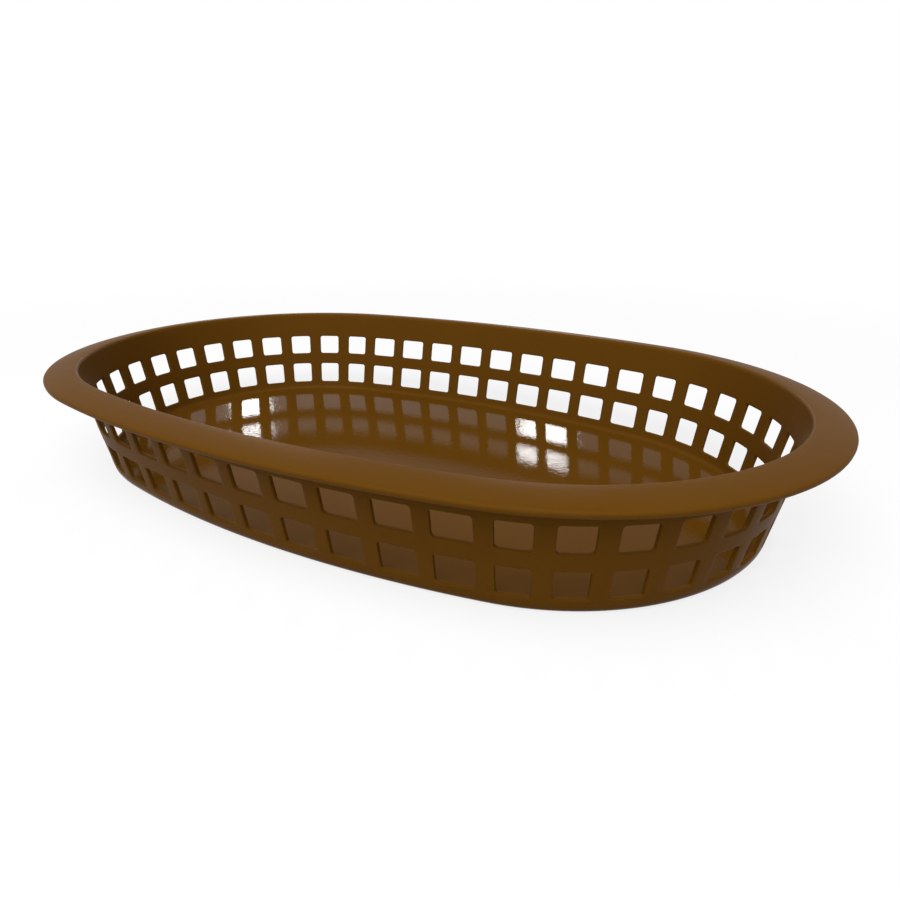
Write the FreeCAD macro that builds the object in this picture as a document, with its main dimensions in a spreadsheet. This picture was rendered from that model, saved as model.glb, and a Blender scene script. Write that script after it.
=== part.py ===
"""Oval fast food basket, moulded in one piece: a solid floor, a leaning wall pierced by two rows of
square holes, and a crowned rim that turns outwards. Millimetres, +Z up, the floor's underside at z = 0.

Its outline is a four-arc oval: two end arcs and two long side arcs that meet without a corner. Every
line of the basket, from the floor's edge to the rim's edge, runs at a constant distance from that
outline, so all of them share the same four centres, and the wall is made of four turned pieces."""
import FreeCAD
import Part
import math
import os
import Sketcher
from FreeCAD import Placement, Rotation, Vector

SIZES = (
    ("length", "267", "overall length over the rim, along X"),
    ("width", "174.5", "overall width over the rim, along Y"),
    ("side_radius", "340", "radius of the rim's edge along the two long sides"),
    ("height", "36", "from the underside of the floor to the top of the rim"),
    ("wall_thick", "1.2", "thickness of the wall"),
    ("floor_thick", "1.5", "thickness of the floor"),
    ("rim_thick", "2", "thickness of the rim"),
    ("rim_width", "10.5", "from the wall's inner face to the rim's edge"),
    ("rim_crown", "36", "radius of the rim's crowned top"),
    ("draft", "11.5", "lean of the wall from upright, in degrees"),
    ("corner_round", "3", "outer radius where the wall meets the floor"),
    ("under_round", "1", "radius under the rim, where it leaves the wall"),
    ("edge_round", "1.2", "radius of the rim's inner edge"),
    ("top_row", "21.9", "height of the upper row of holes, at its middle"),
    ("row_gap", "12.9", "from the middle of one row to the middle of the next"),
    ("upper_rise", "7.8", "height of a hole in the upper row"),
    ("lower_rise", "8.4", "height of a hole in the lower row"),
    ("end_columns", "14", "columns of holes round each end"),
    ("side_columns", "9", "columns of holes along each side"),
    ("end_open", "0.63", "share of the wall that the holes take, round the ends"),
    ("side_open", "0.7", "share of the wall that the holes take, along the sides"),
)

# The rounds are worked as rows of equal flats, so many to each round.
CORNER_FLATS = 3
UNDER_FLATS = 1
BELOW_FLATS = 1
TIP_FLATS = 3
CROWN_FLATS = 3
EDGE_FLATS = 2

# The arcs and angles that follow from those sizes.
WORKED_OUT = (
    ("end_radius", "(sizes.side_radius^2 - (sizes.length / 2)^2 - (sizes.side_radius - sizes.width / 2)^2)"
                   " / (2 * sizes.side_radius - sizes.length)", "radius of the rim's edge round the ends"),
    ("end_centre", "sizes.length / 2 - end_radius", "from the middle to an end arc's centre"),
    ("side_centre", "sizes.side_radius - sizes.width / 2", "from the middle to a side arc's centre"),
    ("end_sweep", "2 * atan2(side_centre; end_centre)", "angle that an end arc covers"),
    ("side_sweep", "180 deg - end_sweep", "angle that a side arc covers"),
    ("floor_inset", "sizes.rim_width + sizes.height * tan(sizes.draft * 1 deg) + sizes.corner_round",
                    "from the rim's edge in to the flat floor"),
    ("wall_inset", "sizes.rim_width + sizes.height / 2 * tan(sizes.draft * 1 deg)",
                   "from the rim's edge in to the wall, halfway up"),
    ("end_hole", "sizes.end_open * (end_radius - wall_inset) * end_sweep / 1 rad / sizes.end_columns",
                 "width of a hole round the ends"),
    ("side_hole", "sizes.side_open * (sizes.side_radius - wall_inset) * side_sweep / 1 rad"
                  " / sizes.side_columns", "width of a hole along the sides"),
)

X_AXIS, Y_AXIS, ORIGIN = -1, -2, -1
START, END, CENTRE = 1, 2, 3

doc = FreeCAD.newDocument("fast_food_basket")


def make_sheet(name, rows, sign=""):
    """A spreadsheet with one row for each value: what it is, its number or formula, and its alias."""
    sheet = doc.addObject("Spreadsheet::Sheet", name)
    for row, (alias, content, note) in enumerate(rows, start=1):
        sheet.set(f"A{row}", note)
        sheet.set(f"B{row}", sign + content)
        sheet.setAlias(f"B{row}", alias)
    doc.recompute()
    return sheet


sizes = make_sheet("sizes", SIZES)
worked = make_sheet("worked_out", WORKED_OUT, "=")


def value(sheet, alias):
    """A sheet's value as a bare number, in millimetres or degrees."""
    number = getattr(sheet, alias)
    return getattr(number, "Value", number)


# The body, with the helpers that its sketches share.
body = doc.addObject("PartDesign::Body", "basket")
body.Label = "basket"
PLANES = {plane.Role: plane for plane in body.Origin.OriginFeatures}


def new_sketch(name, plane, offset=None):
    """A sketch on one of the body's origin planes, moved on it by a placement."""
    sketch = body.newObject("Sketcher::SketchObject", name)
    sketch.AttachmentSupport = [(PLANES[plane], "")]
    sketch.MapMode = "FlatFace"
    if offset:
        sketch.AttachmentOffset = offset
    return sketch


def drive(sketch, name, formula, *constraint):
    """Adds a dimension under its own name and binds it to a formula of the sheets' values."""
    index = sketch.addConstraint(Sketcher.Constraint(*constraint))
    sketch.renameConstraint(index, name)
    sketch.setExpression(f"Constraints.{name}", formula)


def add_line(sketch, start, end):
    return sketch.addGeometry(Part.LineSegment(start, end), False)


def add_arc(sketch, centre, start, end, guide=False):
    """An arc drawn anticlockwise about its centre from one point to another, or only as a guide."""
    first = math.atan2(start.y - centre.y, start.x - centre.x)
    last = math.atan2(end.y - centre.y, end.x - centre.x)
    circle = Part.Circle(centre, Vector(0, 0, 1), (start - centre).Length)
    if last < first:
        last += 2 * math.pi
    return sketch.addGeometry(Part.ArcOfCircle(circle, first, last), guide)


def add_flats(sketch, guide, flats):
    """Works the round that a guide arc gives as equal flats, each with its ends on the arc."""
    arc = sketch.Geometry[guide]
    step = (arc.LastParameter - arc.FirstParameter) / flats
    corners = [arc.value(arc.FirstParameter + step * turn) for turn in range(flats + 1)]
    lines = [add_line(sketch, *ends) for ends in zip(corners, corners[1:])]
    join(sketch, "Coincident", ((guide, START, lines[0], START), (guide, END, lines[-1], END)))
    for line, following in zip(lines, lines[1:]):
        join(sketch, "Coincident", ((line, END, following, START),))
        sketch.addConstraint(Sketcher.Constraint("PointOnObject", line, END, guide))
        sketch.addConstraint(Sketcher.Constraint("Equal", line, following))


def join(sketch, kind, links):
    """Joins each piece of an outline to the next, by a smooth or a plain corner."""
    for first, first_end, second, second_end in links:
        sketch.addConstraint(Sketcher.Constraint(kind, first, first_end, second, second_end))


def finish_sketch(sketch):
    """Solves a sketch and stops if it isn't fully set by its dimensions."""
    doc.recompute()
    if sketch.solve() != 0 or not sketch.FullyConstrained:
        raise RuntimeError(f"sketch {sketch.Name} isn't fully set")


def wall_sketch(name, plane, place, place_formula, reach, reach_formula):
    """The section of wall and rim at one arc, with the arc's centre line as its vertical axis.

    It runs round the section: floor, outer corner, wall, under the rim, rim's edge, rim's crown, inner
    edge, inner wall, inner corner and floor again. reach is the arc's radius at the rim's edge."""
    draft = math.radians(value(sizes, "draft"))
    height, wall = value(sizes, "height"), value(sizes, "wall_thick")
    floor, rim = value(sizes, "floor_thick"), value(sizes, "rim_thick")
    crown, rim_width = value(sizes, "rim_crown"), value(sizes, "rim_width")
    corner, under, edge = (value(sizes, size) for size in ("corner_round", "under_round", "edge_round"))
    inner_corner = corner - wall
    foot = reach - value(worked, "floor_inset")
    outward = Vector(math.cos(draft), -math.sin(draft))

    def on_wall(level, depth):
        """A point at a level, on a line parallel to the wall's inner face and outside it by a depth."""
        inner = reach - rim_width - (height - level) * math.tan(draft)
        return Vector(inner + depth / math.cos(draft), level)

    # The centres of the section's arcs.
    crown_centre = Vector(reach - rim_width, height - crown)
    tip_side = rim_width - rim / 2
    tip_lift = math.sqrt((crown - rim / 2) ** 2 - tip_side ** 2)
    tip_centre = crown_centre + Vector(tip_side, tip_lift)
    tip_way = (tip_centre - crown_centre).normalize()
    corner_centre = on_wall(corner, wall - corner)
    hollow_centre = on_wall(floor + inner_corner, -inner_corner)
    under_centre = on_wall(height - rim - under, wall + under)
    edge_centre = on_wall(height - edge, edge)
    under_way = (under_centre - crown_centre).normalize()
    edge_way = (edge_centre - crown_centre).normalize()

    # Its corners, in the order of the outline.
    foot_low, foot_high = Vector(foot, 0), Vector(foot, floor)
    corner_low = Vector(corner_centre.x, 0)
    corner_high = corner_centre + outward * corner
    under_low = under_centre - outward * under
    under_high = crown_centre + under_way * (crown - rim)
    tip_low = crown_centre + tip_way * (crown - rim)
    tip_high = crown_centre + tip_way * crown
    edge_high = crown_centre + edge_way * crown
    edge_low = edge_centre - outward * edge
    hollow_high = hollow_centre + outward * inner_corner
    hollow_low = Vector(hollow_centre.x, floor)

    sketch = new_sketch(name, plane, Placement(Vector(place, 0, 0), Rotation()))
    sketch.setExpression("AttachmentOffset.Base.x", place_formula)
    floor_line = add_line(sketch, foot_low, corner_low)
    corner_arc = add_arc(sketch, corner_centre, corner_low, corner_high, True)
    outer_line = add_line(sketch, corner_high, under_low)
    under_arc = add_arc(sketch, under_centre, under_high, under_low, True)
    below_arc = add_arc(sketch, crown_centre, tip_low, under_high, True)
    tip_arc = add_arc(sketch, tip_centre, tip_low, tip_high, True)
    crown_arc = add_arc(sketch, crown_centre, tip_high, edge_high, True)
    edge_arc = add_arc(sketch, edge_centre, edge_high, edge_low, True)
    inner_line = add_line(sketch, edge_low, hollow_high)
    hollow_arc = add_arc(sketch, hollow_centre, hollow_low, hollow_high, True)
    top_line = add_line(sketch, hollow_low, foot_high)
    foot_line = add_line(sketch, foot_high, foot_low)
    mouth = sketch.addGeometry(Part.Point(Vector(reach - rim_width, height)), True)
    for guide, flats in ((corner_arc, CORNER_FLATS), (under_arc, UNDER_FLATS), (below_arc, BELOW_FLATS),
                         (tip_arc, TIP_FLATS), (crown_arc, CROWN_FLATS), (edge_arc, EDGE_FLATS),
                         (hollow_arc, CORNER_FLATS)):
        add_flats(sketch, guide, flats)

    join(sketch, "Tangent", (
        (floor_line, END, corner_arc, START), (corner_arc, END, outer_line, START),
        (outer_line, END, under_arc, END), (under_arc, START, below_arc, END),
        (below_arc, START, tip_arc, START), (tip_arc, END, crown_arc, START),
        (crown_arc, END, edge_arc, START), (edge_arc, END, inner_line, START),
        (inner_line, END, hollow_arc, END), (hollow_arc, START, top_line, START)))
    join(sketch, "Coincident", (
        (top_line, END, foot_line, START), (foot_line, END, floor_line, START),
        (below_arc, CENTRE, crown_arc, CENTRE)))
    for line in (floor_line, top_line):
        sketch.addConstraint(Sketcher.Constraint("Horizontal", line))
    sketch.addConstraint(Sketcher.Constraint("Vertical", foot_line))
    sketch.addConstraint(Sketcher.Constraint("PointOnObject", floor_line, START, X_AXIS))
    sketch.addConstraint(Sketcher.Constraint("Parallel", outer_line, inner_line))
    sketch.addConstraint(Sketcher.Constraint("PointOnObject", mouth, START, inner_line))
    sketch.addConstraint(Sketcher.Constraint("Vertical", mouth, START, crown_arc, CENTRE))

    drive(sketch, "foot", f"{reach_formula} - worked_out.floor_inset",
          "DistanceX", ORIGIN, START, floor_line, START, foot)
    drive(sketch, "mouth", f"{reach_formula} - sizes.rim_width",
          "DistanceX", ORIGIN, START, mouth, START, reach - rim_width)
    drive(sketch, "mouth_level", "sizes.height", "DistanceY", ORIGIN, START, mouth, START, height)
    drive(sketch, "crown_drop", "sizes.rim_crown", "DistanceY", crown_arc, CENTRE, mouth, START, crown)
    drive(sketch, "tip", f"{reach_formula} - sizes.rim_thick / 2",
          "DistanceX", ORIGIN, START, tip_arc, CENTRE, reach - rim / 2)
    drive(sketch, "crown", "sizes.rim_crown", "Radius", crown_arc, crown)
    drive(sketch, "below", "sizes.rim_crown - sizes.rim_thick", "Radius", below_arc, crown - rim)
    drive(sketch, "corner", "sizes.corner_round", "Radius", corner_arc, corner)
    drive(sketch, "hollow", "sizes.corner_round - sizes.wall_thick", "Radius", hollow_arc, inner_corner)
    drive(sketch, "under", "sizes.under_round", "Radius", under_arc, under)
    drive(sketch, "edge", "sizes.edge_round", "Radius", edge_arc, edge)
    drive(sketch, "floor", "sizes.floor_thick", "DistanceY", foot_line, END, foot_line, START, floor)
    drive(sketch, "lean", "90 deg - sizes.draft * 1 deg",
          "Angle", floor_line, START, outer_line, START, math.pi / 2 - draft)
    drive(sketch, "wall", "sizes.wall_thick", "Distance", inner_line, START, outer_line, wall)
    finish_sketch(sketch)
    return sketch


def turned(name, sketch, sweep_formula):
    """Turns a section about its own vertical axis, evenly to both sides of its plane."""
    feature = body.newObject("PartDesign::Revolution", name)
    feature.Profile = sketch
    feature.ReferenceAxis = (sketch, ["V_Axis"])
    feature.Midplane = True
    feature.setExpression("Angle", sweep_formula)
    doc.recompute()
    return feature


def mirrored(name, original, plane):
    """The same feature again, on the other side of an origin plane."""
    feature = body.newObject("PartDesign::Mirrored", name)
    feature.Originals = [original]
    feature.MirrorPlane = (PLANES[plane], [""])
    body.Tip = feature
    doc.recompute()
    return feature


def oval_sketch(name, inset_formula, inset):
    """A four-arc oval on the ground plane, inside the rim's edge by a constant inset."""
    end_centre, side_centre = value(worked, "end_centre"), value(worked, "side_centre")
    end_radius = value(worked, "end_radius") - inset
    side_radius = value(sizes, "side_radius") - inset
    half_sweep = math.radians(value(worked, "end_sweep") / 2)
    joint = Vector(end_centre + end_radius * math.cos(half_sweep), end_radius * math.sin(half_sweep))
    right_high, left_high = joint, Vector(-joint.x, joint.y)
    left_low, right_low = Vector(-joint.x, -joint.y), Vector(joint.x, -joint.y)

    sketch = new_sketch(name, "XY_Plane")
    right = add_arc(sketch, Vector(end_centre, 0), right_low, right_high)
    back = add_arc(sketch, Vector(0, -side_centre), right_high, left_high)
    left = add_arc(sketch, Vector(-end_centre, 0), left_high, left_low)
    front = add_arc(sketch, Vector(0, side_centre), left_low, right_low)
    join(sketch, "Tangent", ((right, END, back, START),))
    join(sketch, "Coincident", (
        (back, END, left, START), (left, END, front, START), (front, END, right, START)))
    for arc, axis in ((right, X_AXIS), (back, Y_AXIS), (left, X_AXIS)):
        sketch.addConstraint(Sketcher.Constraint("Symmetric", arc, START, arc, END, axis))
        sketch.addConstraint(Sketcher.Constraint("PointOnObject", arc, CENTRE, axis))
    sketch.addConstraint(Sketcher.Constraint("Equal", right, left))
    sketch.addConstraint(Sketcher.Constraint("Equal", back, front))
    drive(sketch, "right_centre", "worked_out.end_centre",
          "DistanceX", ORIGIN, START, right, CENTRE, end_centre)
    drive(sketch, "back_centre", "worked_out.side_centre",
          "DistanceY", back, CENTRE, ORIGIN, START, side_centre)
    drive(sketch, "end_radius", f"worked_out.end_radius - {inset_formula}", "Radius", right, end_radius)
    finish_sketch(sketch)
    return sketch


def add_window(sketch, name, wide_formula, wide, level_formula, level):
    """The outline of a hole of the upper or lower row, centred on the vertical axis at a level."""
    rise, side = value(sizes, f"{name}_rise"), wide / 2
    low, high = level - rise / 2, level + rise / 2
    corners = (Vector(-side, low), Vector(side, low), Vector(side, high), Vector(-side, high))
    lines = [add_line(sketch, *ends) for ends in zip(corners, corners[1:] + corners[:1])]
    join(sketch, "Coincident", [(line, END, following, START)
                                for line, following in zip(lines, lines[1:] + lines[:1])])
    bottom, right, top, left = lines
    for line, way in ((right, "Vertical"), (top, "Horizontal"), (left, "Vertical")):
        sketch.addConstraint(Sketcher.Constraint(way, line))
    sketch.addConstraint(Sketcher.Constraint("Symmetric", bottom, START, bottom, END, Y_AXIS))
    drive(sketch, f"{name}_wide", wide_formula, "DistanceX", bottom, START, bottom, END, wide)
    drive(sketch, f"{name}_rise", f"sizes.{name}_rise", "DistanceY", right, START, right, END, rise)
    drive(sketch, f"{name}_level", f"{level_formula} - sizes.{name}_rise / 2",
          "DistanceY", ORIGIN, START, bottom, START, low)


def pierced(name, plane, facing, section, centre, reach, sweep, columns, wide, mirror_plane):
    """Cuts one column of two holes outwards through an arc's wall, then repeats it round the arc.

    The arc is shared out evenly among its columns, so the first stands half a pitch from the arc's end.
    The cut starts at the floor's edge and ends below the rim's edge. facing turns the plane's own normal
    towards the wall, and section is the sketch whose vertical axis is the arc's centre line."""
    sweep_formula = f"worked_out.{sweep}"
    pitch_formula = f"{sweep_formula} / sizes.{columns}"
    turn_formula = f"({facing} deg + ({pitch_formula} - {sweep_formula}) / 2)"
    foot_formula = f"({reach} - worked_out.floor_inset)"
    first_turn = facing - value(worked, sweep) / 2 * (1 - 1 / value(sizes, columns))
    sketch = new_sketch(f"{name}_holes", plane, Placement(Vector(), Rotation(Vector(0, 1, 0), first_turn)))
    sketch.setExpression("AttachmentOffset.Rotation.Angle", turn_formula)
    sketch.setExpression("AttachmentOffset.Base.x", f"{foot_formula} * sin({turn_formula})")
    sketch.setExpression("AttachmentOffset.Base.z", f"{centre} + {foot_formula} * cos({turn_formula})")
    top_row, row_gap = value(sizes, "top_row"), value(sizes, "row_gap")
    width, width_formula = value(worked, wide), f"worked_out.{wide}"
    add_window(sketch, "upper", width_formula, width, "sizes.top_row", top_row)
    add_window(sketch, "lower", width_formula, width, "sizes.top_row - sizes.row_gap", top_row - row_gap)
    finish_sketch(sketch)

    before = body.Shape.Volume
    column = body.newObject("PartDesign::Pocket", f"{name}_column")
    column.Profile = sketch
    column.Reversed = True
    column.setExpression("Length", "worked_out.floor_inset")
    doc.recompute()
    rises = value(sizes, "upper_rise") + value(sizes, "lower_rise")
    if before - column.Shape.Volume < width * rises * value(sizes, "wall_thick"):
        raise RuntimeError(f"{name}_column cut too little")

    around = body.newObject("PartDesign::MultiTransform", f"{name}_columns")
    around.Originals = [column]
    turns = body.newObject("PartDesign::PolarPattern", f"{name}_turns")
    turns.Axis = (section, ["V_Axis"])
    turns.setExpression("Angle", f"{sweep_formula} - {pitch_formula}")
    turns.setExpression("Occurrences", f"sizes.{columns}")
    across = body.newObject("PartDesign::Mirrored", f"{name}_across")
    across.MirrorPlane = (PLANES[mirror_plane], [""])
    around.Transformations = [turns, across]
    body.Tip = around
    doc.recompute()
    return around


# Floor: a flat plate that the wall's turned pieces meet at its edge.
floor = body.newObject("PartDesign::Pad", "floor")
floor.Profile = oval_sketch("floor_outline", "worked_out.floor_inset", value(worked, "floor_inset"))
floor.setExpression("Length", "sizes.floor_thick")
doc.recompute()

# Wall and rim: one section turned about an end arc's centre and one about a side arc's, both mirrored.
end_section = wall_sketch("end_section", "XZ_Plane", value(worked, "end_centre"), "worked_out.end_centre",
                          value(worked, "end_radius"), "worked_out.end_radius")
mirrored("left_end", turned("right_end", end_section, "worked_out.end_sweep"), "YZ_Plane")
side_section = wall_sketch("side_section", "YZ_Plane", -value(worked, "side_centre"),
                           "-worked_out.side_centre", value(sizes, "side_radius"), "sizes.side_radius")
mirrored("front_side", turned("back_side", side_section, "worked_out.side_sweep"), "XZ_Plane")

# Holes: two rows in columns, shared out evenly round each arc.
pierced("end", "YZ_Plane", 0, end_section, "worked_out.end_centre", "worked_out.end_radius",
        "end_sweep", "end_columns", "end_hole", "YZ_Plane")
pierced("side", "XZ_Plane", 180, side_section, "worked_out.side_centre", "sizes.side_radius",
        "side_sweep", "side_columns", "side_hole", "XZ_Plane")

# Every object has to be sound before the basket is written.
doc.recompute()
for item in doc.Objects:
    if "Invalid" in item.State or "Error" in item.State:
        raise RuntimeError(f"{item.Name} failed: {item.State}")
if body.Shape.isNull() or not body.Shape.isValid() or len(body.Shape.Solids) != 1:
    raise RuntimeError("the basket isn't one sound solid")

os.makedirs("parts", exist_ok=True)
body.Shape.exportStep(f"parts/{body.Label}.step")
box = body.Shape.optimalBoundingBox()
print(f"basket {box.XLength:.2f} x {box.YLength:.2f} x {box.ZLength:.2f} mm")
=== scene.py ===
"""The oval fast food basket, dressed over its CAD frame, on a pale floor in soft studio light."""

import math

import bmesh
import bpy
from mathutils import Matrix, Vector


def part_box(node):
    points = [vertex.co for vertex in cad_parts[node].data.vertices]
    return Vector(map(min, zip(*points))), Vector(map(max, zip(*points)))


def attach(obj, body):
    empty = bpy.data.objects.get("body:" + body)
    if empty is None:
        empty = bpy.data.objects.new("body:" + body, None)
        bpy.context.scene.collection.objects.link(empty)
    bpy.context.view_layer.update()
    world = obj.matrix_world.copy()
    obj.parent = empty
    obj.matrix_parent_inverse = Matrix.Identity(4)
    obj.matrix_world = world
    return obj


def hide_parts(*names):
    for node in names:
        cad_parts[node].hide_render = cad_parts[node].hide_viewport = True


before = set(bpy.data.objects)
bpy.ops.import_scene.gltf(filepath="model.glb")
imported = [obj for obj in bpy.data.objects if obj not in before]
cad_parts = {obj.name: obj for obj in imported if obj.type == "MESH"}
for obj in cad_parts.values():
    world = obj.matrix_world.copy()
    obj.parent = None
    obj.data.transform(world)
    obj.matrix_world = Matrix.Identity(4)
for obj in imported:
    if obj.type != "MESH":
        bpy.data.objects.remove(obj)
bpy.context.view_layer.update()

# The basket
# One injection moulding in brown polypropylene: a flat floor, a thin leaning wall with two rows of
# holes, and a rim that turns outwards and thickens to its edge. It leaves the mould with round edges.
MM = 0.001
RIM_END, RIM_SIDE, RIM_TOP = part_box("basket")[1]
RIM_WIDTH = 10.5 * MM
RIM_CROWN = 36 * MM
RIM_THICK = 2 * MM
NECK_THICK = 1.1 * MM
WALL_THICK = 1.2 * MM
FLOOR_THICK = 1.5 * MM
DRAFT = math.radians(11.5)
MOUTH_ROUND = 1.2 * MM
INNER_CORNER = 1.8 * MM

# The outline is a four-arc oval, and its centres serve every level of the wall.
SIDE_RADIUS = 340 * MM
SIDE_CENTRE = SIDE_RADIUS - RIM_SIDE
END_RADIUS = (SIDE_RADIUS ** 2 - RIM_END ** 2 - SIDE_CENTRE ** 2) / (2 * (SIDE_RADIUS - RIM_END))
END_CENTRE = RIM_END - END_RADIUS
END_SWEEP = 2 * math.atan2(SIDE_CENTRE, END_CENTRE)
SIDE_SWEEP = math.pi - END_SWEEP

# The holes stand in columns round the arcs, each open over a share of its width, and in two rows, given
# by the level of a row's middle and its rise.
END_COLUMNS, END_OPEN = 14, 0.63
SIDE_COLUMNS, SIDE_OPEN = 9, 0.7
ROWS = ((21.9 * MM, 7.8 * MM), (9 * MM, 8.4 * MM))


def wall_inset(level):
    """How far the wall's inner face stands in from the rim's edge at a level."""
    return RIM_WIDTH + (RIM_TOP - level) * math.tan(DRAFT)


# The section of the upper face, from the rim's edge to the floor: how far in each point stands, how
# high, and how thick the moulding is there. The rim's crowned top and round inner edge come first.
CROWN_STEPS, ROUND_STEPS = 5, 5
crown_z = RIM_TOP - RIM_CROWN
lip_z = crown_z + math.sqrt(RIM_CROWN ** 2 - RIM_WIDTH ** 2)
edge_z = RIM_TOP - MOUTH_ROUND
edge_inset = wall_inset(edge_z) - MOUTH_ROUND / math.cos(DRAFT)
edge_tilt = math.atan2(RIM_WIDTH - edge_inset, edge_z - crown_z)
section = [(0, lip_z, RIM_THICK)]
for step in range(1, CROWN_STEPS + 1):
    inset = edge_inset * step / CROWN_STEPS
    level = crown_z + math.sqrt(RIM_CROWN ** 2 - (RIM_WIDTH - inset) ** 2)
    section.append((inset, level, RIM_THICK + (NECK_THICK - RIM_THICK) * (step / CROWN_STEPS) ** 3))
for step in range(1, ROUND_STEPS + 1):
    turn = -edge_tilt + (math.pi / 2 - DRAFT + edge_tilt) * step / ROUND_STEPS
    inset = edge_inset + MOUTH_ROUND * math.sin(turn)
    section.append((inset, edge_z + MOUTH_ROUND * math.cos(turn), NECK_THICK))

# Then the wall, with a band for each row, and the round corner to the floor. A narrow margin beside
# each round and row keeps the smooth shading of the wide faces true.
MARGIN = 0.6 * MM
levels = [section[-1][1] - MARGIN]
for middle, rise in ROWS:
    top, bottom = middle + rise / 2, middle - rise / 2
    levels += [top + MARGIN, top, bottom, bottom - MARGIN]
section += [(wall_inset(level), level, WALL_THICK) for level in levels]
corner_z = FLOOR_THICK + INNER_CORNER
corner_inset = wall_inset(corner_z) + INNER_CORNER / math.cos(DRAFT)
for step in range(ROUND_STEPS + 1):
    turn = DRAFT + (math.pi / 2 - DRAFT) * step / ROUND_STEPS
    inset = corner_inset - INNER_CORNER * math.cos(turn)
    thick = WALL_THICK + (FLOOR_THICK - WALL_THICK) * step / ROUND_STEPS
    section.append((inset, corner_z - INNER_CORNER * math.sin(turn), thick))
section.append((section[-1][0] + MARGIN, section[-1][1], FLOOR_THICK))


def edit(piece):
    """Opens one piece in edit mode, with nothing selected."""
    bpy.ops.object.select_all(action="DESELECT")
    piece.select_set(True)
    bpy.context.view_layer.objects.active = piece
    bpy.ops.object.mode_set(mode="EDIT")
    bpy.ops.mesh.select_all(action="DESELECT")


def pick(piece, kind, test):
    """Selects the open piece's faces or edges that pass a test."""
    bpy.ops.mesh.select_mode(type="FACE" if kind == "faces" else "EDGE")
    bpy.ops.mesh.select_all(action="DESELECT")
    mesh = bmesh.from_edit_mesh(piece.data)
    for part in getattr(mesh, kind):
        if test(part):
            part.select_set(True)
    mesh.select_flush_mode()
    bmesh.update_edit_mesh(piece.data)


def note_thickness(thick):
    """Notes on the selected face's corners how thick the moulding is there."""
    bpy.context.scene.tool_settings.vertex_group_weight = thick / RIM_THICK
    bpy.ops.object.vertex_group_assign()


# The rim's edge: one point, spun round the four arcs in steps that also serve the holes, then filled.
HOLE_STEPS = 3
MERGE_REACH = 0.05 * MM
start_x = END_CENTRE + END_RADIUS * math.cos(END_SWEEP / 2)
start_y = -END_RADIUS * math.sin(END_SWEEP / 2)
bpy.ops.object.select_all(action="DESELECT")
bpy.ops.mesh.primitive_plane_add(size=MM, location=(start_x, start_y, lip_z))
basket = bpy.context.object
basket.name = "basket_moulding"
bpy.ops.object.transform_apply(location=True)
edit(basket)
bpy.ops.mesh.select_all(action="SELECT")
bpy.ops.mesh.merge(type="CENTER")
for centre, sweep, columns, share in (
        ((END_CENTRE, 0, 0), END_SWEEP, END_COLUMNS, END_OPEN),
        ((0, -SIDE_CENTRE, 0), SIDE_SWEEP, SIDE_COLUMNS, SIDE_OPEN),
        ((-END_CENTRE, 0, 0), END_SWEEP, END_COLUMNS, END_OPEN),
        ((0, SIDE_CENTRE, 0), SIDE_SWEEP, SIDE_COLUMNS, SIDE_OPEN)):
    for column in range(columns):
        for part, steps in (((1 - share) / 2, 1), (share, HOLE_STEPS), ((1 - share) / 2, 1)):
            bpy.ops.mesh.spin(steps=steps, angle=-sweep / columns * part, center=centre, axis=(0, 0, 1))
bpy.ops.mesh.select_all(action="SELECT")
bpy.ops.mesh.remove_doubles(threshold=MERGE_REACH)
bpy.ops.mesh.edge_face_add()
bpy.ops.mesh.select_mode(type="FACE")
bpy.ops.mesh.normals_make_consistent(inside=False)
mesh = bmesh.from_edit_mesh(basket.data)
fill, = mesh.faces
if fill.normal.z < 0:
    bpy.ops.mesh.flip_normals()

# The filled face goes in and down the section, and leaves a ring of the moulding at each point.
basket.vertex_groups.new(name="thickness")
note_thickness(RIM_THICK)
for (last_inset, last_level, _), (inset, level, thick) in zip(section, section[1:]):
    bpy.ops.mesh.inset(thickness=inset - last_inset, depth=level - last_level)
    note_thickness(thick)


def in_a_hole(face):
    """Whether a face of the wall lies in one of the two rows and in the open part of its column."""
    spot = face.calc_center_median()
    if not any(abs(spot.z - middle) < rise / 4 for middle, rise in ROWS):
        return False
    turn = math.atan2(spot.y, abs(spot.x) - END_CENTRE)
    place, share = turn / END_SWEEP * END_COLUMNS + END_COLUMNS / 2, END_OPEN
    if abs(turn) > END_SWEEP / 2:
        turn = math.atan2(spot.x, abs(spot.y) + SIDE_CENTRE)
        place, share = turn / SIDE_SWEEP * SIDE_COLUMNS + SIDE_COLUMNS / 2, SIDE_OPEN
    return abs(place - math.floor(place) - 0.5) < share / 2


pick(basket, "faces", in_a_hole)
bpy.ops.mesh.delete(type="FACE")
bpy.ops.object.mode_set(mode="OBJECT")
shell = basket.modifiers.new("shell", "SOLIDIFY")
shell.thickness = RIM_THICK
shell.vertex_group = "thickness"
shell.offset = -1
shell.use_even_offset = True
bpy.ops.object.modifier_apply(modifier=shell.name)
basket.vertex_groups.clear()

# Round corners through the holes, then a fine round along every edge, and a full one round the lip.
HOLE_CORNER = 0.9 * MM
HOLE_EDGE = 0.2 * MM
LIP_ROUND = 0.8 * MM
SHARP, SMOOTH = math.radians(50), math.radians(40)
WALL_TOP = edge_z - 4 * MM
LIP_LOW, LIP_HIGH = lip_z - 1.5 * RIM_THICK, RIM_TOP - MM


def sharp_between(edge, low, high):
    """Whether an edge is a sharp one that lies between two levels."""
    heights = [vert.co.z for vert in edge.verts]
    between = low < min(heights) and max(heights) < high
    return between and edge.is_manifold and edge.calc_face_angle() > SHARP


def crosses_the_wall(edge):
    """Whether an edge runs through the wall at a hole's corner, and so is short and nearly level."""
    drop = abs(edge.verts[0].co.z - edge.verts[1].co.z)
    short = edge.calc_length() < 1.3 * WALL_THICK
    return short and drop < WALL_THICK / 2 and sharp_between(edge, 0, WALL_TOP)


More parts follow.
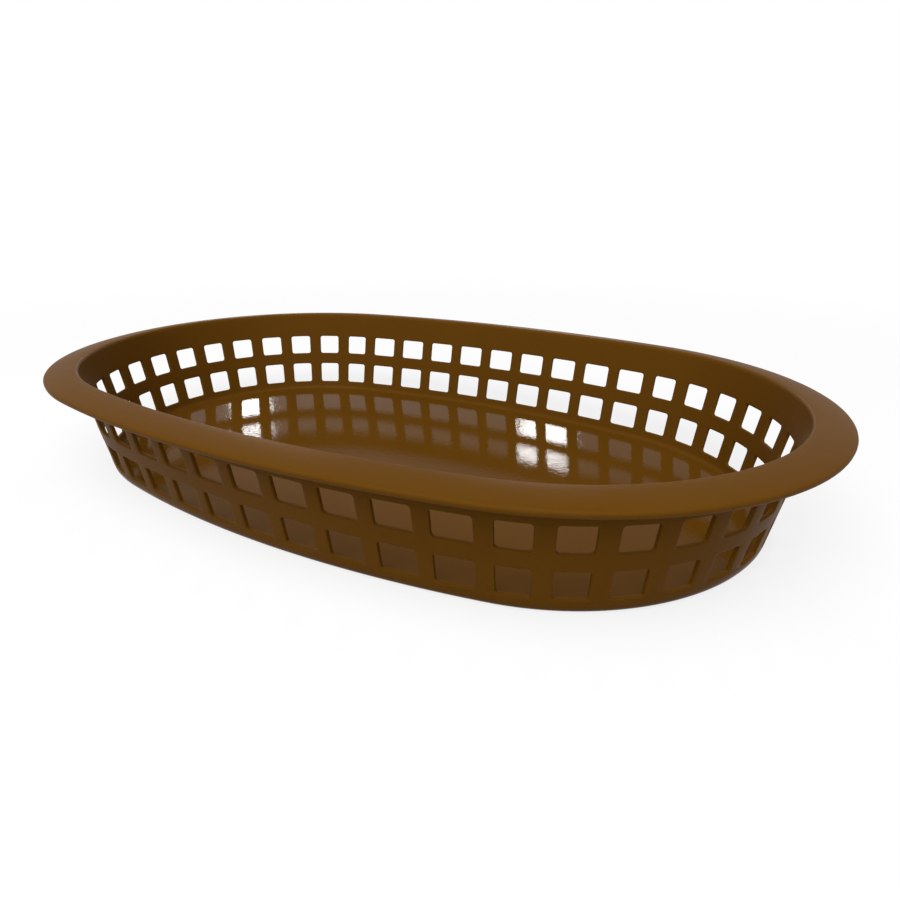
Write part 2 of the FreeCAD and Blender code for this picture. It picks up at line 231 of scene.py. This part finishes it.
edit(basket)
pick(basket, "edges", crosses_the_wall)
bpy.ops.mesh.bevel(offset=HOLE_CORNER, segments=3, affect="EDGES")
pick(basket, "edges", lambda edge: sharp_between(edge, 0, WALL_TOP))
bpy.ops.mesh.bevel(offset=HOLE_EDGE, segments=2, affect="EDGES")
pick(basket, "edges", lambda edge: sharp_between(edge, LIP_LOW, LIP_HIGH))
bpy.ops.mesh.bevel(offset=LIP_ROUND, segments=4, affect="EDGES")
bpy.ops.object.mode_set(mode="OBJECT")
bpy.ops.object.shade_smooth_by_angle(angle=SMOOTH)


def linear(hex_colour):
    """An sRGB hex colour as the linear values that the shader takes."""
    parts = [int(hex_colour[at:at + 2], 16) / 255 for at in (0, 2, 4)]
    return [part / 12.92 if part <= 0.04045 else ((part + 0.055) / 1.055) ** 2.4
            for part in parts] + [1]


def node(tree, kind, settings=None, links=None):
    """Adds a node to a material, with its settings and with what feeds its sockets."""
    made = tree.nodes.new(kind)
    for name, setting in (settings or {}).items():
        if isinstance(name, int) or name in made.inputs:
            made.inputs[name].default_value = setting
        else:
            setattr(made, name, setting)
    for name, source in (links or {}).items():
        tree.links.new(source, made.inputs[name])
    return made


# Moulded polypropylene, pigmented brown: an even colour that the melt's flow clouds a little. The skin
# is the mould's: polished on the floor, so that it mirrors the holes, and satin on the wall and the
# rim, with the faint waves of a part that has shrunk.
CLOUD_SIZE = 35.714 * MM
RUB_SIZE = 6.25 * MM
WAVE_SIZE = 11.111 * MM
# The mould's own grain, of about 0.1 mm, is too fine to show, so it is drawn this coarse.
GRAIN_SIZE = 1.4286 * MM
polypropylene = bpy.data.materials.new("moulded_polypropylene")
polypropylene.use_nodes = True
tree = polypropylene.node_tree
skin = tree.nodes["Principled BSDF"]
skin.inputs["IOR"].default_value = 1.49
skin.inputs["Specular IOR Level"].default_value = 0.02
spots = node(tree, "ShaderNodeTexCoord").outputs["Object"]
flow = node(tree, "ShaderNodeTexNoise", {"Scale": 1 / CLOUD_SIZE, "Detail": 3}, {"Vector": spots})
colour = node(tree, "ShaderNodeValToRGB", {}, {"Fac": flow.outputs["Fac"]})
colour.color_ramp.elements[0].color = linear("5A390A")
colour.color_ramp.elements[1].color = linear("623F0F")
tree.links.new(colour.outputs["Color"], skin.inputs["Base Color"])
rub = node(tree, "ShaderNodeTexNoise", {"Scale": 1 / RUB_SIZE, "Detail": 4}, {"Vector": spots})
polish = node(tree, "ShaderNodeMapRange", {"To Min": 0.04, "To Max": 0.09},
              {"Value": rub.outputs["Fac"]})
height = node(tree, "ShaderNodeSeparateXYZ", {}, {0: spots}).outputs["Z"]
satin = node(tree, "ShaderNodeMapRange",
             {"From Min": FLOOR_THICK, "From Max": 2 * INNER_CORNER, "To Max": 0.36}, {"Value": height})
rough = node(tree, "ShaderNodeMath", {"operation": "ADD"},
             {0: polish.outputs["Result"], 1: satin.outputs["Result"]})
tree.links.new(rough.outputs[0], skin.inputs["Roughness"])
waves = node(tree, "ShaderNodeTexNoise", {"Scale": 1 / WAVE_SIZE, "Detail": 2}, {"Vector": spots})
sunk = node(tree, "ShaderNodeBump", {"Strength": 0.2, "Distance": 0.1 * MM},
            {"Height": waves.outputs["Fac"]})
grain = node(tree, "ShaderNodeTexNoise", {"Scale": 1 / GRAIN_SIZE, "Detail": 2}, {"Vector": spots})
peel = node(tree, "ShaderNodeBump", {"Strength": 0.8, "Distance": 0.05 * MM},
            {"Height": grain.outputs["Fac"], "Normal": sunk.outputs["Normal"]})
tree.links.new(peel.outputs["Normal"], skin.inputs["Normal"])
basket.data.materials.append(polypropylene)
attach(basket, "root")
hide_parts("basket")

# The floor
# A wide sheet of pale matt board, laid flat. What the camera and the mirrored rays see of it is lifted
# towards white, the more so the further out it lies, and the basket's shadow stays on it.
FLOOR_WIDTH = 6
bpy.ops.object.select_all(action="DESELECT")
bpy.ops.mesh.primitive_plane_add(size=FLOOR_WIDTH)
floor = bpy.context.object
floor.name = "studio_floor"


def seen(tree):
    """Whether a ray comes from the camera, straight or through a mirror or a glass."""
    path = node(tree, "ShaderNodeLightPath")
    straight = node(tree, "ShaderNodeMath", {"operation": "ADD"},
                    {0: path.outputs["Is Camera Ray"], 1: path.outputs["Is Transmission Ray"]})
    either = node(tree, "ShaderNodeMath", {"operation": "ADD", "use_clamp": True},
                  {0: straight.outputs[0], 1: path.outputs["Is Glossy Ray"]})
    return either.outputs[0]


board = bpy.data.materials.new("pale_board")
board.use_nodes = True
tree = board.node_tree
paper = tree.nodes["Principled BSDF"]
paper.inputs["Base Color"].default_value = linear("B4B4B4")
paper.inputs["Roughness"].default_value = 0.9
paper.inputs["Specular IOR Level"].default_value = 0.1
spots = node(tree, "ShaderNodeTexCoord").outputs["Object"]
reach = node(tree, "ShaderNodeVectorMath", {"operation": "LENGTH"}, {0: spots})
fade = node(tree, "ShaderNodeMapRange",
            {"interpolation_type": "SMOOTHSTEP", "From Min": 0.1, "From Max": 0.6, "To Min": 0.78},
            {"Value": reach.outputs["Value"]})
white = node(tree, "ShaderNodeEmission", {"Color": linear("FFFFFF"), "Strength": 1})
sheet = node(tree, "ShaderNodeBsdfDiffuse", {"Color": linear("FAFAFA")})
lifted = node(tree, "ShaderNodeMixShader", {},
              {0: fade.outputs[0], 1: sheet.outputs[0], 2: white.outputs[0]})
mixed = node(tree, "ShaderNodeMixShader", {},
             {0: seen(tree), 1: paper.outputs[0], 2: lifted.outputs[0]})
tree.links.new(mixed.outputs[0], tree.nodes["Material Output"].inputs["Surface"])
floor.data.materials.append(board)

# The light
# A studio with white walls and a dim ceiling. One large softbox hangs high in front, and two small
# windows far behind are mirrored in the polished floor of the basket.
world = bpy.context.scene.world or bpy.data.worlds.new("studio")
bpy.context.scene.world = world
world.use_nodes = True
tree = world.node_tree
room = tree.nodes["Background"]
room.inputs["Color"].default_value = linear("FFFFFF")
way = node(tree, "ShaderNodeTexCoord").outputs["Generated"]
upward = node(tree, "ShaderNodeSeparateXYZ", {}, {0: way}).outputs["Z"]
dimming = node(tree, "ShaderNodeMapRange",
               {"From Min": 0, "From Max": 0.12, "To Min": 0.9, "To Max": 0.36}, {"Value": upward})
tree.links.new(dimming.outputs[0], room.inputs["Strength"])
backdrop = node(tree, "ShaderNodeBackground", {"Color": linear("FFFFFF"), "Strength": 1})
mixed = node(tree, "ShaderNodeMixShader", {},
             {0: seen(tree), 1: room.outputs[0], 2: backdrop.outputs[0]})
tree.links.new(mixed.outputs[0], tree.nodes["World Output"].inputs["Surface"])
for name, wide, high, power, spot in (
        ("softbox", 1.2, 1.2, 15.7, (0.16, -0.7, 0.95)),
        ("left_window", 0.12, 0.16, 2.2, (-1.71, 1.51, 0.69)),
        ("right_window", 0.2, 0.2, 4, (-0.78, 2.11, 0.83))):
    bpy.ops.object.light_add(type="AREA", location=spot)
    lamp = bpy.context.object
    lamp.name = name
    lamp.data.shape = "RECTANGLE"
    lamp.data.size = wide
    lamp.data.size_y = high
    lamp.data.energy = power
    lamp.rotation_euler = Vector(spot).to_track_quat("Z", "Y").to_euler()

# The camera
# It stands where the photograph was taken, close to the basket and looking down on it. Its focal
# length, and the point straight ahead of it, are in pixels of the photograph.
PHOTO_WIDTH = 900
PHOTO_MIDDLE = PHOTO_WIDTH / 2
FOCAL_LENGTH = 673.2
AHEAD_ACROSS, AHEAD_DOWN = 441.04, 440.62
SENSOR_WIDTH = 36
camera_spot = Vector((124.39, -184.85, 92.13)) * MM
camera_aim = Vector((40.48, -44.18, 30.53)) * MM
bpy.ops.object.camera_add(location=camera_spot)
camera = bpy.context.object
camera.rotation_euler = (camera_aim - camera_spot).to_track_quat("-Z", "Y").to_euler()
camera.data.sensor_width = SENSOR_WIDTH
camera.data.lens = SENSOR_WIDTH * FOCAL_LENGTH / PHOTO_WIDTH
camera.data.shift_x = (PHOTO_MIDDLE - AHEAD_ACROSS) / PHOTO_WIDTH
camera.data.shift_y = (AHEAD_DOWN - PHOTO_MIDDLE) / PHOTO_WIDTH
camera.data.clip_start = 0.01
bpy.context.scene.camera = camera
bpy.context.scene.view_settings.view_transform = "Standard"
